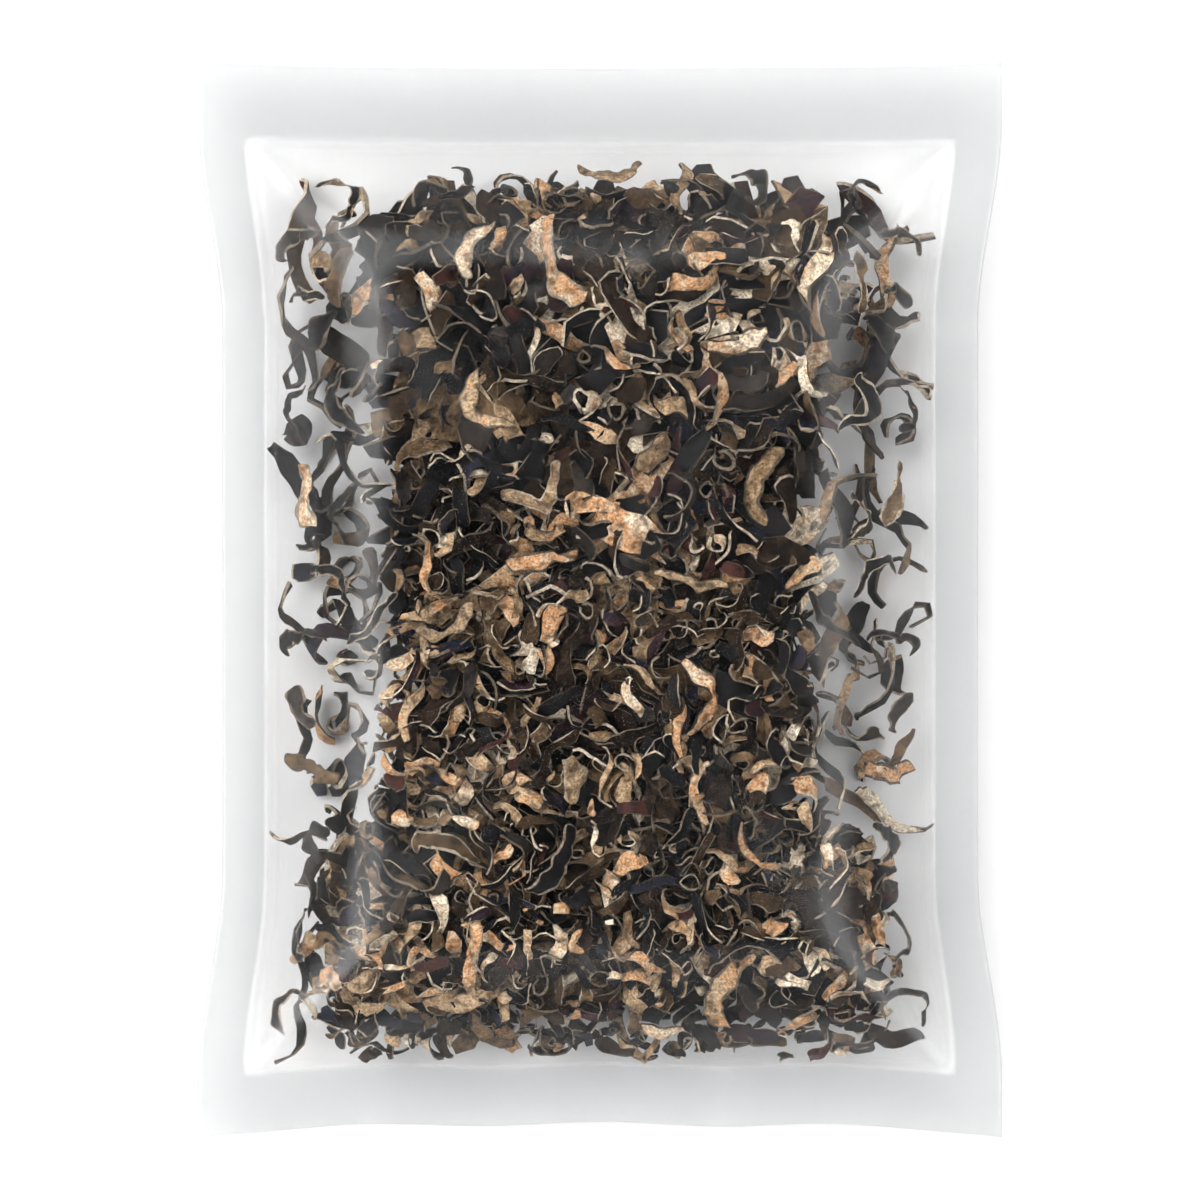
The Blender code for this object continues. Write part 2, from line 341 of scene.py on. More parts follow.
def slope_share(x, y, shoulder):
    """0 on the seal line, 1 from the shoulder inwards, and creased softly along each corner."""
    to_side, to_end = [np.clip(depth / shoulder, 0.0, 1.3) for depth in inside_by(x, y)]
    mix = np.maximum(0.0, CORNER_BLEND - abs(to_side - to_end)) / CORNER_BLEND
    near = np.clip(np.minimum(to_side, to_end) - CORNER_BLEND * mix * mix / 4.0, 0.0, 1.0)
    return 1.0 - (1.0 - near) ** 2


def front_level(x, y):
    """The height of the front film's outer face."""
    crown = (1.0 - (x / HALF_WIDTH) ** 2) * (1.0 - (y / HALF_HEIGHT) ** 2)
    rise = slope_share(x, y, FRONT_SHOULDER) * (FRONT_RISE + FRONT_CROWN * crown)
    return seal_level(x, y) + 0.15 * MM + FILM + rise


def back_level(x, y):
    """The height of the back film's outer face, which lies flat inside its shoulders."""
    level = seal_level(x, y) - 0.15 * MM
    return level + (FILM - level) * slope_share(x, y, BACK_SHOULDER) - FILM


# %% Lay a grid for each film
SEAL_CELLS = 9
INSIDE_CELLS = (118, 160)


def stops(first_seal, last_seal, inside, half):
    """Shares of a half width from edge to edge, even over each seal and even between them."""
    start, end = -1.0 + first_seal / half, 1.0 - last_seal / half
    return np.concatenate([
        np.linspace(-1.0, start, SEAL_CELLS, endpoint=False),
        np.linspace(start, end, inside, endpoint=False),
        np.linspace(end, 1.0, SEAL_CELLS + 1),
    ])


def film_skin(name, level):
    """A grid as large as the pouch, each point at its height."""
    columns = stops(SIDE_SEAL, SIDE_SEAL, INSIDE_CELLS[0], HALF_WIDTH)
    rows = stops(BOTTOM_SEAL, TOP_SEAL, INSIDE_CELLS[1], HALF_HEIGHT)
    cells = {"x_subdivisions": len(columns) - 1, "y_subdivisions": len(rows) - 1}
    bpy.ops.mesh.primitive_grid_add(size=1, **cells)
    skin = bpy.context.object
    skin.name = name
    flat = points_of(skin.data)
    column = ((flat[:, 0] + 0.5) * (len(columns) - 1)).round().astype(int)
    row = ((flat[:, 1] + 0.5) * (len(rows) - 1)).round().astype(int)
    across, along = columns[column], rows[row]
    y = end_edge(across * HALF_WIDTH, along > 0) * abs(along)
    x = across * side_edge(y)
    set_points(skin.data, np.stack([x, y, level(x, y)], 1))
    print(name, len(skin.data.polygons), "faces")
    return skin


front = film_skin("front_film_fine", front_level)
back = film_skin("back_film_fine", back_level)

# %% [markdown]
# A heat-sealed bag is never quite smooth. The seal is a flat band that waves, with a thin raised line
# on its inner side and a second, softer line where the film starts to rise. A tent runs in from each
# corner, small puckers fade away from the seal, and shreds dent the film from below. All of them are
# heights over the skin, so we add them up and move the points.

# %% Shape the skins
SKIN_THICKNESS = 0.12 * MM
SEAL_CLOSE = 0.13 * MM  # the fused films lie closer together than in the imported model
EDGE_WAVE = 0.8 * MM
LINE_RISE = 0.22 * MM
SECOND_LINE = 2.4 * MM
# the tents at each corner of the seal: how far each leans over, its rise and its reach
TENTS = [(0.90, 1.5 * MM, 24 * MM), (1.32, 0.8 * MM, 34 * MM), (0.35, 0.6 * MM, 22 * MM)]
PUCKER = 0.45 * MM
PUCKER_REACH = 10 * MM
DENT = 0.5 * MM
# broad folds that cross the sealed band: x, y, which way they run, half width, length, rise
BAND_FOLDS = [
    (92, 64, "x", 4.5, 16, 1.1), (92, -79, "x", 4.5, 16, -1.1), (-92, 70, "x", 6, 14, 0.8),
    (-92, -74, "x", 6, 14, 0.8), (-52, -124, "y", 5, 14, 1.3), (34, -124, "y", 4, 14, 1.4),
    (2, -124, "y", 7, 14, -0.8), (-42, 125, "y", 13, 16, 0.9), (46, 125, "y", 14, 16, 0.7),
]


def rough(x, y, size, seed):
    """Smooth noise about size across, from -1 to 1, for arrays of places."""
    return np.array([noise.noise(Vector((a / size, b / size, seed))) for a, b in zip(x, y)])


def bell(value, width):
    return np.exp(-((value / width) ** 2))


def tents(x, y):
    """Ridges that run in from the seal's corners and widen further in, and a thin line along each ridge
    where the film's shader paints a highlight.
    """
    rise, crease = np.zeros(len(x)), np.zeros(len(x))
    for side in (-1, 1):
        for corner_y in (BOTTOM_SEAL - HALF_HEIGHT, HALF_HEIGHT - TOP_SEAL):
            corner_x = side * side_edge(corner_y) * (1.0 - SIDE_SEAL / HALF_WIDTH)
            for lean, height, reach in TENTS:
                way_x, way_y = -side * math.cos(lean), -math.copysign(math.sin(lean), corner_y)
                along = (x - corner_x) * way_x + (y - corner_y) * way_y
                off = (x - corner_x) * way_y - (y - corner_y) * way_x
                width = 0.9 * MM + 0.13 * np.maximum(along, 0)
                fade = np.exp(-np.maximum(along, 0) / reach) * ease(0, 5 * MM, along)
                rise += height * fade * (bell(off, width) - 0.35 * bell(off, 2.2 * width))
                # the thin line along the ridge is where the film's haze paints a highlight
                crease += height / TENTS[0][1] * fade * bell(off, 0.6 * width)
    return rise, np.clip(crease, 0.0, 1.0)


def band_folds(x, y):
    rise = np.zeros(len(x))
    for fold_x, fold_y, way, half, length, height in BAND_FOLDS:
        sizes = (length, half) if way == "x" else (half, length)
        shape = bell(x - fold_x * MM, sizes[0] * MM) * bell(y - fold_y * MM, sizes[1] * MM)
        rise += height * MM * shape
    return rise


def shape_skin(skin, outward):
    """Moves a skin's points by everything that the seal and the fill do to a film."""
    points = points_of(skin.data)
    x, y = points[:, 0], points[:, 1]
    from_side, from_end = inside_by(x, y)
    depth = np.minimum(from_side, from_end)
    filled = ease(0.0, 3 * MM, depth)
    wave = EDGE_WAVE * rough(x, y, 34 * MM, 3.1) * (1.0 - ease(-14 * MM, 0.0, depth))
    rise = wave + band_folds(x, y) * (1.0 if outward > 0 else 1.0 - filled)
    rise -= outward * SEAL_CLOSE * (1.0 - ease(-0.5 * MM, 4 * MM, depth))
    line = bell(depth, 0.6 * MM) + 0.8 * bell(depth - SECOND_LINE, 0.7 * MM)
    rise += outward * LINE_RISE * line
    pucker = rough(np.where(from_side < from_end, y, x), depth * 0.2, 6 * MM, 8.7)
    rise += outward * PUCKER * pucker * filled * np.exp(-np.maximum(depth, 0) / PUCKER_REACH)
    tent_rise, crease = tents(x, y)
    if outward > 0:
        far_in = ease(8 * MM, 26 * MM, depth)
        rise += tent_rise * filled
        rise += DENT * far_in * (rough(x, y, 15 * MM, 1.3) - 0.3)
        rise += 0.4 * DENT * far_in * rough(x, y, 7 * MM, 5.9)
    points[:, 2] = np.clip(points[:, 2] + rise, cad_box[0].z, cad_box[1].z)
    set_points(skin.data, points)
    set_attribute(skin.data, "depth", "FLOAT", depth)
    set_attribute(skin.data, "crease", "FLOAT", crease * filled)
    modify(skin, "SOLIDIFY", thickness=SKIN_THICKNESS, offset=-outward)
    pick(skin)
    if outward < 0:
        bpy.ops.object.mode_set(mode="EDIT")
        bpy.ops.mesh.select_all(action="SELECT")
        bpy.ops.mesh.normals_make_consistent(inside=False)
        bpy.ops.object.mode_set(mode="OBJECT")
    bpy.ops.object.shade_smooth()
    print(skin.name, "moved by up to", round(float(np.abs(rise).max()) / MM, 2), "mm")


shape_skin(front, 1)
shape_skin(back, -1)

# %% [markdown]
# Rays straight up and straight down on a fine grid give the room between the two films. Later it
# keeps every shred inside the pouch.

# %% Measure the room inside
PITCH = 1.0 * MM
FAR = 0.5
GRID_X = np.arange(-101, 102) * PITCH
GRID_Y = np.arange(-135, 136) * PITCH


def height_map(mesh, start, direction):
    """The height of what a ray meets first over every cell, and 0 where it meets nothing."""
    mesh.calc_loop_triangles()
    faces = [tuple(t.vertices) for t in mesh.loop_triangles]
    tree = BVHTree.FromPolygons([v.co for v in mesh.vertices], faces)
    way = Vector((0, 0, direction))
    found = np.zeros((len(GRID_Y), len(GRID_X)))
    for row, y in enumerate(GRID_Y):
        for column, x in enumerate(GRID_X):
            hit = tree.ray_cast(Vector((x, y, start)), way)[0]
            if hit:
                found[row, column] = hit.z
    return found


ceiling = height_map(front.data, -FAR, 1)
ground = height_map(back.data, FAR, -1)
print("room inside", round(float((ceiling - ground).max()) / MM, 1), "mm at most")

# %% [markdown]
# Clear film is mostly a hole in the picture: nearly all light goes through. What we see of it is a
# little milky haze, stronger where two films are fused, and the mirror of the studio, which is
# stronger at a slant. So the shader mixes nothing at all (Transparent) with a milky surface by the
# haze, and that with a mirror that grows as the film is seen at more of a slant.

# %% The film's material
def clear_film(name):
    material, tree, place = start_material(name)
    depth = place.make("ShaderNodeAttribute", {"attribute_name": "depth"}, {}, "Fac")
    depth = depth * (1 / MM)
    on_band = 1 - depth.between(-0.8, 0.4)
    # the seal's inner line and second line get extra haze: a painted highlight along each raised line
    inner_line_painted_highlight = depth.between(-0.5, 0.0) * (1 - depth.between(0.2, 0.8))
    second_line_painted_highlight = depth.between(1.7, 2.3) * (1 - depth.between(2.5, 3.1))
    clouded = cloud(place, 50 * MM, 1.0).between(0.35, 0.7)
    crease = place.make("ShaderNodeAttribute", {"attribute_name": "crease"}, {}, "Fac")
    # the crease lines whiten the haze: a painted highlight along each tent
    haze = 0.0005 + 0.0025 * clouded + 0.05 * on_band + 0.16 * crease
    haze = haze + 0.035 * inner_line_painted_highlight + 0.02 * second_line_painted_highlight
    clear = place.make("ShaderNodeBsdfTransparent", {}, {"Color": (0.998, 0.998, 0.998, 1)})
    fused = place.make("ShaderNodeBsdfTransparent", {}, {"Color": (0.925, 0.926, 0.927, 1)})
    through = place.make("ShaderNodeMixShader", {}, {0: on_band, 1: clear, 2: fused})
    milk = place.make("ShaderNodeBsdfDiffuse", {}, {"Color": (0.93, 0.94, 0.95, 1)})
    body = place.make("ShaderNodeMixShader", {}, {0: haze, 1: through, 2: milk})
    mirror = place.make("ShaderNodeBsdfGlossy", {}, {"Color": (1, 1, 1, 1), "Roughness": 0.11})
    slant = place.make("ShaderNodeLayerWeight", {}, {"Blend": 0.5}, "Facing")
    mirrored = 0.012 + 0.3 * slant.math("POWER", slant, 5.0)
    surface = place.make("ShaderNodeMixShader", {}, {0: mirrored, 1: body, 2: mirror})
    finish_material(place, surface)
    return material


film_finish = clear_film("clear_film_finish")
for film, node in ((front, "front_film"), (back, "back_film")):
    film.data.materials.append(film_finish)
    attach(film, "root")
    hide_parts(node)
print("films dressed")

# %% [markdown]
# ## The larger shreds
#
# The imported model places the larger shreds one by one: some on top of the fill, and hooks, loops and
# chips around its rim. There they are smooth bands. A dried strip is thin and uneven: it swells and
# narrows, its cut edges wander and its faces buckle. So each band is copied, rounded and pushed about
# by noise that moves both of its faces alike. The two broad sides and the cut edge get a finish each.

# %% Refine the larger shreds
EDGE_ANGLE = math.radians(50)
HERO_THICKNESS = 0.9 * MM
HERO_THINNING = 0.62  # the share of its thickness that a strip loses
HERO_BUCKLES = [(9 * MM, 2.6 * MM), (3.4 * MM, 1.1 * MM), (1.7 * MM, 0.35 * MM)]
UNDER_FILM = 0.25 * MM


def sides_of(piece):
    """Marks the faces of a strip: 0 and 1 for its upper and lower broad sides, 2 for the cut edge."""
    net = bmesh.new()
    net.from_mesh(piece.data)
    net.faces.ensure_lookup_table()
    region = {}
    sizes = []
    for start in net.faces:
        if start in region:
            continue
        number = len(sizes)
        region[start] = number
        stack = [start]
        area = Vector((0, 0, 0))
        total = 0.0
        while stack:
            face = stack.pop()
            area += face.normal * face.calc_area()
            total += face.calc_area()
            for edge in face.edges:
                if edge.calc_face_angle(math.pi) > EDGE_ANGLE:
                    continue
                for near in edge.link_faces:
                    if near not in region:
                        region[near] = number
                        stack.append(near)
        sizes.append((total, area.z))
    broad = sorted(range(len(sizes)), key=lambda n: -sizes[n][0])[:2]
    upper = max(broad, key=lambda n: sizes[n][1])
    for face, number in region.items():
        face.material_index = 2 if number not in broad else (0 if number == upper else 1)
    net.to_mesh(piece.data)
    net.free()


def thin_out(piece, share):
    """Draws the two broad sides towards each other, which thins a strip and keeps its outline."""
    mesh = piece.data
    normals = np.zeros((len(mesh.vertices), 3))
    for face in mesh.polygons:
        if face.material_index < 2:
            for v in face.vertices:
                normals[v] += face.normal
    lengths = np.linalg.norm(normals, axis=1)
    normals[lengths > 0] /= lengths[lengths > 0][:, None]
    set_points(mesh, points_of(mesh) - normals * (share * HERO_THICKNESS / 2))


def buckle(points, amounts, seed):
    """Pushes points about by smooth noise: a list of (size, strength)."""
    moved = points.copy()
    for size, strength in amounts:
        for at, point in enumerate(points):
            place = Vector(point) / size + Vector((seed, 2.7 * seed, 0))
            moved[at] += np.array(noise.noise_vector(place)) * strength
    return moved


def under_film(points, gap):
    """Keeps points below the front film and above the back film."""
    column = np.clip(((points[:, 0] - GRID_X[0]) / PITCH).round().astype(int), 0, len(GRID_X) - 1)
    row = np.clip(((points[:, 1] - GRID_Y[0]) / PITCH).round().astype(int), 0, len(GRID_Y) - 1)
    top = ceiling[row, column] - gap
    low_side = ground[row, column] + gap
    points[:, 2] = np.where(top > low_side, np.clip(points[:, 2], low_side, top), points[:, 2])
    return points


rng = random.Random(41)
heroes = []
for name in sorted(frame["nodes"]):
    if not name.startswith("shred_"):
        continue
    source = frame["nodes"][name]
    piece = bpy.data.objects.new(name + "_fine", source.data.copy())
    bpy.context.scene.collection.objects.link(piece)
    tan_up = "tan" in source.data.materials[0].name
    piece.data.materials.clear()
    modify(piece, "WELD", merge_threshold=0.01 * MM)
    pick(piece)
    bpy.ops.object.mode_set(mode="EDIT")
    bpy.ops.mesh.select_all(action="SELECT")
    limits = {"face_threshold": math.radians(60), "shape_threshold": math.radians(80)}
    bpy.ops.mesh.tris_convert_to_quads(**limits)
    bpy.ops.object.mode_set(mode="OBJECT")
    for slot in range(3):
        piece.data.materials.append(None)
    sides_of(piece)
    thin_out(piece, HERO_THINNING)
    modify(piece, "SUBSURF", levels=2, render_levels=2, boundary_smooth="ALL")
    seed = rng.uniform(0, 90)
    moved = buckle(points_of(piece.data), HERO_BUCKLES, seed)
    set_points(piece.data, under_film(moved, UNDER_FILM))
    heroes.append((piece, name, tan_up))
print("larger shreds", len(heroes), "faces in one", len(heroes[0][0].data.polygons))

# %% [markdown]
# ## The small shreds
#
# A few dozen master shreds stand for the thousands. Each starts as a flat strip with uneven edges and
# goes through what drying does: it bends sideways, its edges cup, it curls along its length, twists
# and buckles. Solidify then gives it the thickness of a dried fungus, with the dark face, the tan
# face and the cut edge as three finishes. A master has only a few dozen faces, because it is copied
# hundreds of times.

# %% Model the master shreds
# kind: share of all, cells, then from low to high the length and width in millimetres, and the
# sideways bend, cup, curl and twist in degrees
KINDS = {
    "ribbon": (0.30, (10, 2), (14, 24), (2.2, 4.0), (-80, 80), (30, 110), (90, 260), (30, 140)),
    "curl": (0.26, (10, 2), (9, 16), (2.0, 4.2), (-40, 40), (60, 170), (180, 420), (10, 90)),
    "chip": (0.30, (6, 2), (5.5, 10), (2.6, 4.8), (-30, 30), (30, 120), (30, 130), (0, 60)),
    "strand": (0.14, (10, 1), (14, 24), (0.9, 1.7), (-90, 90), (0, 40), (120, 400), (60, 200)),
}
DEEP_KIND = ((6, 1), (18, 28), (5, 8), (-40, 40), (10, 60), (30, 120), (10, 70))
MASTERS, DEEP_MASTERS = 60, 14


class Master:
    """A shred that is copied: its points, faces and the finish of each face."""

    def __init__(self, piece, kind):
        mesh = piece.data
        self.kind = kind
        self.points = points_of(mesh)
        self.points -= (self.points.max(0) + self.points.min(0)) / 2
        self.faces = np.array([tuple(face.vertices) for face in mesh.polygons])
        self.finish = np.array([face.material_index for face in mesh.polygons])
        self.feelers = np.concatenate([self.points, self.points[self.faces].mean(1)])


def either(rng, low, high):
    """A random number between low and high with a random sign."""
    return rng.choice((-1, 1)) * rng.uniform(low, high)


def make_master(name, kind, sizes, rng):
    cells, length_range, width_range, bend, cup, curl, twist = sizes
    length = rng.uniform(*length_range) * MM
    width = rng.uniform(*width_range) * MM
    bpy.ops.mesh.primitive_grid_add(x_subdivisions=cells[0], y_subdivisions=cells[1], size=1)
    strip = bpy.context.object
    strip.name = name
    seed = rng.uniform(0, 50)
    points = points_of(strip.data)
    for point in points:
        along = 2 * point[0]
        narrowing = 1.0 - rng.uniform(0.45, 0.6) * abs(along) ** 3.0
        swell = 1.0 + 0.45 * noise.noise(Vector((along * 1.7, seed, 0)))
        wander = 0.35 * noise.noise(Vector((along * 1.3, seed, 7)))
        point[1] = (point[1] * narrowing * swell + wander * 0.6) * width
        point[0] = (point[0] + 0.04 * noise.noise(Vector((point[1] / width * 2, seed, 3)))) * length
    set_points(strip.data, points)
    sideways = math.radians(rng.uniform(*bend))
    modify(strip, "SIMPLE_DEFORM", deform_method="BEND", deform_axis="Z", angle=sideways)
    strip.rotation_euler.x = math.radians(90)
    bpy.ops.object.transform_apply(rotation=True)
    for axis, way, amount in (("X", "BEND", cup), ("Z", "BEND", curl), ("X", "TWIST", twist)):
        angle = math.radians(either(rng, *amount))
        modify(strip, "SIMPLE_DEFORM", deform_method=way, deform_axis=axis, angle=angle)
    clouds = bpy.data.textures.new(name + "_buckles", "CLOUDS")
    clouds.noise_scale = rng.uniform(4, 7) * MM
    modify(strip, "DISPLACE", texture=clouds, strength=rng.uniform(1.0, 2.6) * MM, mid_level=0.5)
    thickness = rng.uniform(0.35, 0.6) * MM
    for slot in range(3):
        strip.data.materials.append(None)
    modify(strip, "SOLIDIFY", thickness=thickness, offset=0.0, material_offset=1, material_offset_rim=2)
    strip.rotation_euler.x = math.radians(-90)
    bpy.ops.object.transform_apply(rotation=True)
    master = Master(strip, kind)
    bpy.data.objects.remove(strip)
    return master


rng = random.Random(7)
masters = []
for kind, (share, *sizes) in KINDS.items():
    for number in range(round(MASTERS * share)):
        masters.append(make_master(f"{kind}_{number}", kind, sizes, rng))
deep_masters = [make_master(f"deep_{n}", "deep", DEEP_KIND, rng) for n in range(DEEP_MASTERS)]
print("masters", len(masters), len(deep_masters), "faces in one", len(masters[0].faces))

# %% [markdown]
# The pouch is filled the way it is filled for real: shreds are dropped in and each comes to rest on
# those below. A grid keeps the height of the pile. A shred gets a random place and turn, is lowered
# until it rests on the pile, and is turned down if the film would press it in too far. The core is
# full up to the film, wider at both ends than in the middle, and the flanks hold one loose layer,
# so that the floor shows between the shreds.

# %% Fill the pouch
CELL = 2  # a cell of the pile spans this many cells of the room
SIDE_GAP = 0.35 * MM  # between the shreds and each film
LEAST_ROOM = 0.5 * MM
SQUEEZE = 2.2 * MM  # how far the film may press a shred into the pile
REST_PERCENTILE = 86  # a shred rests where all but the highest contacts carry it, for it gives a little
TURNS = 4  # how many turns a shred tries
PICKS = 6  # how many places are compared before a shred is dropped in the emptiest
MISSES = 1500
SIZES = (0.8, 1.25)
LOW_SIZE, SIZE_GAIN = 0.98, 0.36  # the shreds are larger in the upper half of the pouch
LOW_TAN, TAN_LOSS = 0.53, 0.17  # and fewer of them show the tan side there
pile_x, pile_y = GRID_X[::CELL], GRID_Y[::CELL]
cell_x, cell_y = np.meshgrid(pile_x, pile_y)
pile = ground[::CELL, ::CELL] + SIDE_GAP
limit = ceiling[::CELL, ::CELL] - SIDE_GAP
limit[limit - pile < LEAST_ROOM] = -1.0  # past the seal nothing fits
edge_noise = rough(cell_x.ravel(), cell_y.ravel(), 14 * MM, 2.2).reshape(cell_x.shape)
wide_low, wide_high = 1 - ease(-70, -50, cell_y / MM), ease(60, 76, cell_y / MM)
narrow_low, narrow_high = 1 - ease(-112, -94, cell_y / MM), ease(84, 106, cell_y / MM)
core_half = (51 + 21.5 * wide_low + 10 * wide_high - 9 * narrow_low - 16 * narrow_high) * MM
core_half = core_half + 5 * MM * edge_noise
across = np.abs(cell_x)
ends = (1 - ease(99 * MM, 105 * MM, cell_y + 6 * MM * edge_noise))
ends = ends * ease(-115 * MM, -109 * MM, cell_y + 5 * MM * edge_noise)
core = (1 - ease(core_half - 3 * MM, core_half + 3 * MM, across)) * ends
heart = (1 - ease(core_half - 12 * MM, core_half - 6 * MM, across)) * ends
heart = heart * (1 - ease(86 * MM, 92 * MM, cell_y)) * ease(-98 * MM, -92 * MM, cell_y)
flank = (1 - ease(74 * MM, 77 * MM, across)) * (1 - ease(102 * MM, 106 * MM, cell_y))
flank = flank * ease(-112 * MM, -108 * MM, cell_y) * (core < 0.4)
for piece, name, tan_up in heroes:
    points = points_of(piece.data)
    column = ((points[:, 0] - pile_x[0]) / (CELL * PITCH)).round().astype(int)
    row = ((points[:, 1] - pile_y[0]) / (CELL * PITCH)).round().astype(int)
    np.minimum.at(limit, (row, column), points[:, 2] - 0.2 * MM)


def lowered(master, x, y, turn, size):
    """How a shred rests at x, y: (its points, the cells it lies on, how far the film presses it in)."""
    feelers = master.feelers @ turn.T * size
    column = ((feelers[:, 0] + x - pile_x[0]) / (CELL * PITCH)).round().astype(int)
    row = ((feelers[:, 1] + y - pile_y[0]) / (CELL * PITCH)).round().astype(int)
    if row.min() < 0 or column.min() < 0 or row.max() >= len(pile_y) or column.max() >= len(pile_x):
        return None
    lift = np.percentile(pile[row, column] - feelers[:, 2], REST_PERCENTILE)
    spare = (limit[row, column] - feelers[:, 2] - lift).min()
    return feelers, row, column, lift, spare


def drop(master, x, y, size, tilt, tan_share, rng):
    """Drops a shred in the best of a few turns, and returns its points, or None if it doesn't fit."""
    best = None
    for attempt in range(TURNS):
        turn = Euler((rng.gauss(0, tilt), rng.gauss(0, tilt * 0.6), 0)).to_matrix()
        turn = Euler((0, 0, rng.uniform(0, 2 * math.pi))).to_matrix() @ turn
        over = math.pi if rng.random() < tan_share else 0.0
        turn = np.array(turn @ Euler((over, 0, 0)).to_matrix())
        found = lowered(master, x, y, turn, size)
        if found is None:
            continue
        feelers, row, column, lift, spare = found
        if spare < -SQUEEZE:
            continue
        lift += min(spare, 0.0)
        height = lift + feelers[:, 2].max()
        if best is None or height < best[0]:
            best = (height, feelers, row, column, lift, turn)
    if best is None:
        return None
    height, feelers, row, column, lift, turn = best
    np.maximum.at(pile, (row, column), feelers[:, 2] + lift)
    return master.points @ turn.T * size + np.array((x, y, lift))


def fill(name, region, count, most, kinds, scale, tilt, rng):
    """Drops shreds where region isn't full: most is the height over the ground that it may reach."""
    weights = [each[0] for each in kinds]
    placed = []
    rows, columns = np.nonzero(region > 0.4)
    misses = 0
    while len(placed) < count and misses < MISSES:
        picks = [rng.randrange(len(rows)) for each in range(PICKS)]
        room_left = [
            min(limit[rows[p], columns[p]], ground[::CELL, ::CELL][rows[p], columns[p]] + most)
            - pile[rows[p], columns[p]]
            for p in picks
        ]
        best = int(np.argmax(room_left))
        if room_left[best] < LEAST_ROOM:
            misses += 1
            continue
        p = picks[best]
        x = pile_x[columns[p]] + rng.uniform(-1, 1) * MM
        y = pile_y[rows[p]] + rng.uniform(-1, 1) * MM
        master = rng.choice(rng.choices([each[1] for each in kinds], weights)[0])
        upper = float(ease(-25 * MM, 60 * MM, y))
        size = scale * rng.uniform(*SIZES) * (LOW_SIZE + SIZE_GAIN * upper)
        tan_share = LOW_TAN - TAN_LOSS * upper
        points = drop(master, x, y, size, tilt, tan_share, rng)
        if points is None:
            misses += 1
            continue
        placed.append((master, points, (rng.random(), rng.random(), rng.random())))
    print(name, len(placed), "shreds,", misses, "misses")
    return placed


def of_kind(kind):
    return [master for master in masters if master.kind == kind]


rng = random.Random(19)
mix = [(share, of_kind(kind)) for kind, (share, *rest) in KINDS.items()]
loose = [(0.3, of_kind("ribbon")), (0.3, of_kind("curl")), (0.4, of_kind("strand"))]
deep = fill("deep", heart, 1300, 16 * MM, [(1.0, deep_masters)], 1.0, 0.35, rng)
middle = fill("middle", core, 4300, 60 * MM, mix, 1.0, 0.75, rng)
flanks = fill("flanks", flank, 84, 7 * MM, loose, 1.4, 0.8, rng)

# %% Join the small shreds
def joined(name, shreds):
    """One mesh from many placed shreds, each a closed shell of its own."""
    points, faces, finish, tones = [], [], [], []
    start = 0
    for master, places, tone in shreds:
        points.append(places)
        faces.append(master.faces + start)
        finish.append(master.finish)
        tones.append(np.tile(tone, (len(places), 1)))
        start += len(places)
    points = buckle(np.concatenate(points), [(5 * MM, 1.3 * MM)], 3.3)
    mesh = bpy.data.meshes.new(name)
    mesh.from_pydata(under_film(points, UNDER_FILM), [], np.concatenate(faces))
    mesh.polygons.foreach_set("material_index", np.concatenate(finish))
    set_attribute(mesh, "tone", "FLOAT_VECTOR", np.concatenate(tones))
    mesh.validate()
    piece = bpy.data.objects.new(name, mesh)
    bpy.context.scene.collection.objects.link(piece)
    print(name, len(shreds), "shreds,", sum(len(f) for f in faces) * 2, "triangles")
    return piece


def within(shreds, start, end):
    """The shreds whose middle lies between two heights on the pouch."""
    return [shred for shred in shreds if start * MM < shred[1][:, 1].mean() <= end * MM]


small = [
    joined("shreds_deep", deep),
    joined("shreds_top", within(middle, 40, 200)),
    joined("shreds_upper_middle", within(middle, -15, 40)),
    joined("shreds_lower_middle", within(middle, -60, -15)),
    joined("shreds_bottom", within(middle, -200, -60)),
    joined("shreds_left_flank", [s for s in flanks if s[1][:, 0].mean() < 0]),
    joined("shreds_right_flank", [s for s in flanks if s[1][:, 0].mean() >= 0]),
]

# %% [markdown]
# ## The finish of wood ear
#
# The skin side of a dried wood ear is near black, a little glossy, and has a bluish or brown cast.
# The other side is a dense tan fuzz, anything from taupe to cream and now and then orange. Where the
# blade went through, a pale line runs along the edge. Every shred carries three random numbers, its
# tone, so that neighbours differ; noise in the object's own space mottles and wrinkles each of them.

# %% Dress the shreds
def wood_ear(name, stops, pick_by, mottle, stain, roughness, gloss, bump_depth):
    """One face of a shred: its colour by one number of its tone, mottled, stained and wrinkled."""
    material, tree, place = start_material(name)
    tone = place.make("ShaderNodeAttribute", {"attribute_name": "tone"}, {}, "Vector")
    own = place.make("ShaderNodeSeparateXYZ", {}, {0: tone}, pick_by)
    blotch = cloud(place, 4.5 * MM, 3.0, 0.65)
    grain = cloud(place, 0.6 * MM, 2.0)
    shade = own + (blotch - 0.5) * mottle
    colour = place.make("ShaderNodeValToRGB", {"stops": stops}, {"Fac": shade})
    stained = cloud(place, 2.4 * MM, 2.0).between(0.52, 0.66) * 0.75
    colour = stained.blend(colour, stain)
    fleck = grain.between(0.3, 0.7).blend((0.30, 0.28, 0.27, 1), (1.15, 1.13, 1.10, 1))
    multiply = {"data_type": "RGBA", "blend_type": "MULTIPLY"}
    colour = place.make("ShaderNodeMix", multiply, {0: 1.0, 6: colour, 7: fleck}, 2)
    wrinkle = grain * 0.5 + blotch
    relief = {"Strength": 0.7, "Distance": bump_depth, "Height": wrinkle}
    bump = place.make("ShaderNodeBump", {}, relief)
    matt = grain.between(0.2, 0.8) * 0.2 + roughness
    inputs = {"Base Color": colour, "Roughness": matt, "Normal": bump, "Specular IOR Level": gloss}
    finish_material(place, place.make("ShaderNodeBsdfPrincipled", {}, inputs))
    return material


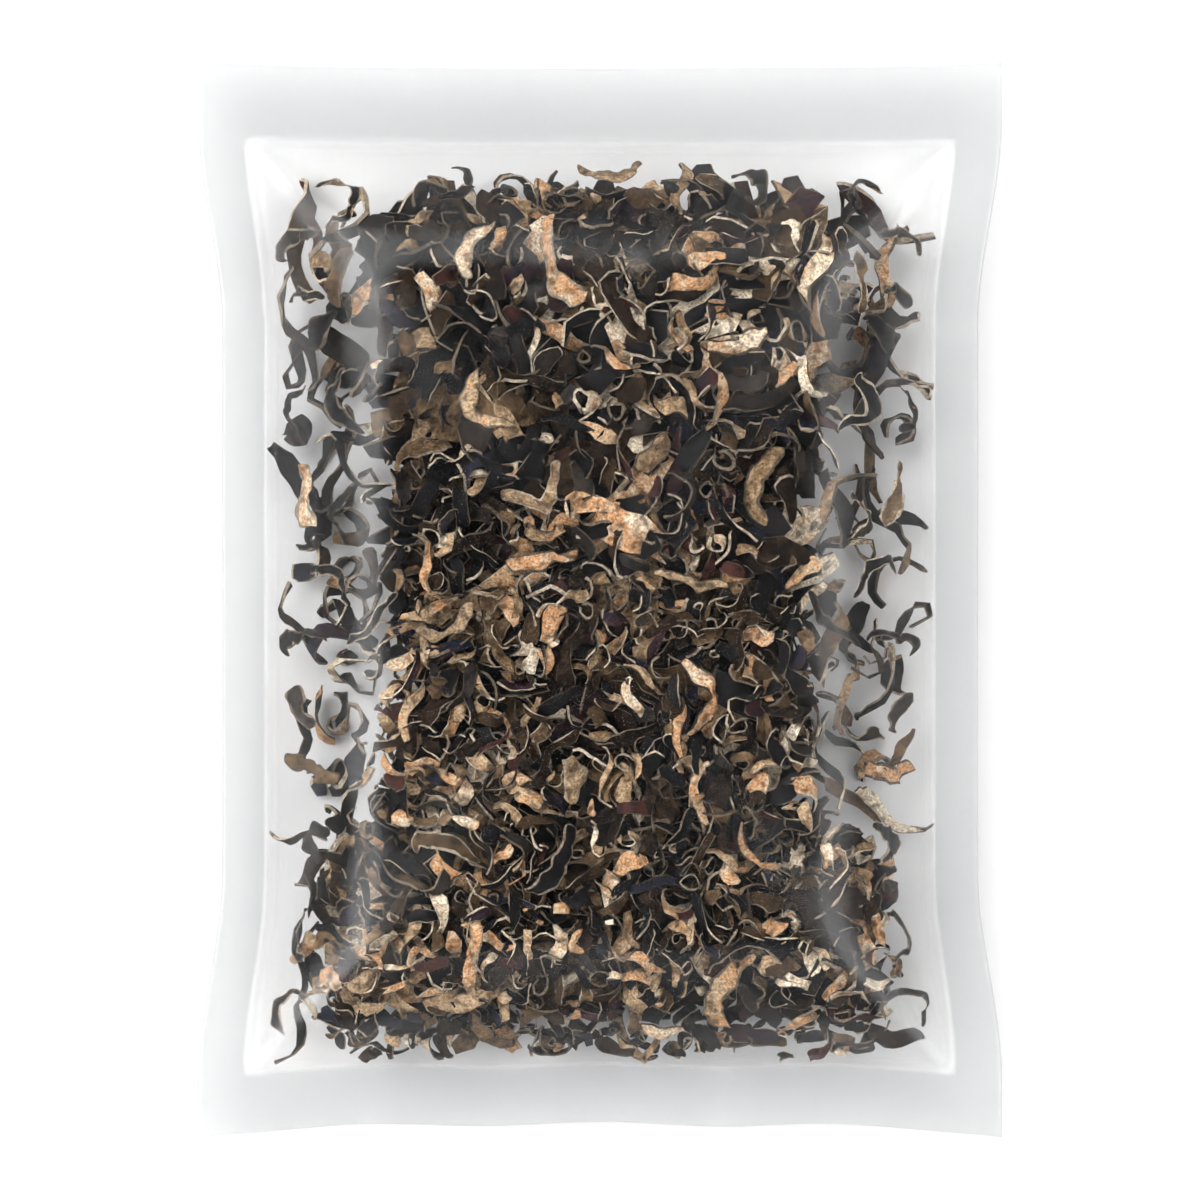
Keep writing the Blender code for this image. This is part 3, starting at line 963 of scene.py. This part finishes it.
dark_face = wood_ear(
    "wood_ear_dark_skin",
    [(0.0, (0.003, 0.003, 0.004)), (0.5, (0.006, 0.0055, 0.007)), (0.64, (0.014, 0.012, 0.011)),
     (0.78, (0.040, 0.031, 0.024)), (0.88, (0.010, 0.014, 0.030)), (0.97, (0.060, 0.020, 0.015))],
    pick_by=0, mottle=0.22, stain=(0.006, 0.005, 0.005, 1), roughness=0.46, gloss=0.09,
    bump_depth=0.16 * MM,
)
tan_face = wood_ear(
    "wood_ear_tan_fuzz",
    [(0.0, (0.008, 0.006, 0.005)), (0.22, (0.020, 0.012, 0.008)), (0.40, (0.060, 0.038, 0.021)),
     (0.56, (0.23, 0.148, 0.080)), (0.72, (0.60, 0.44, 0.28)), (0.82, (0.58, 0.30, 0.14)),
     (0.91, (0.74, 0.59, 0.42)), (1.0, (0.86, 0.76, 0.60))],
    pick_by=1, mottle=0.55, stain=(0.045, 0.030, 0.020, 1), roughness=0.72, gloss=0.06,
    bump_depth=0.3 * MM,
)
cut_edge = wood_ear(
    "wood_ear_cut_edge",
    [(0.0, (0.03, 0.024, 0.019)), (0.4, (0.14, 0.11, 0.08)), (1.0, (0.62, 0.53, 0.41))],
    pick_by=2, mottle=0.3, stain=(0.16, 0.12, 0.08, 1), roughness=0.7, gloss=0.2,
    bump_depth=0.1 * MM,
)


def dress(piece, node, finishes):
    for number, material in enumerate(finishes):
        if number < len(piece.data.materials):
            piece.data.materials[number] = material
        else:
            piece.data.materials.append(material)
    piece.data.polygons.foreach_set("use_smooth", [True] * len(piece.data.polygons))
    piece.data.set_sharp_from_angle(angle=math.radians(55))
    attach(piece, "root")
    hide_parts(node)


rng = random.Random(23)
for piece, name, tan_up in heroes:
    tone = (rng.uniform(0, 0.9), rng.uniform(0.42, 0.92), rng.random())
    set_attribute(piece.data, "tone", "FLOAT_VECTOR", [tone] * len(piece.data.vertices))
    finishes = (tan_face, dark_face, cut_edge) if tan_up else (dark_face, tan_face, cut_edge)
    dress(piece, name, finishes)
for piece in small:
    dress(piece, "packed_shreds", (dark_face, tan_face, cut_edge))
print("dressed", len(heroes) + len(small), "pieces")

# %% Finish
print("done")
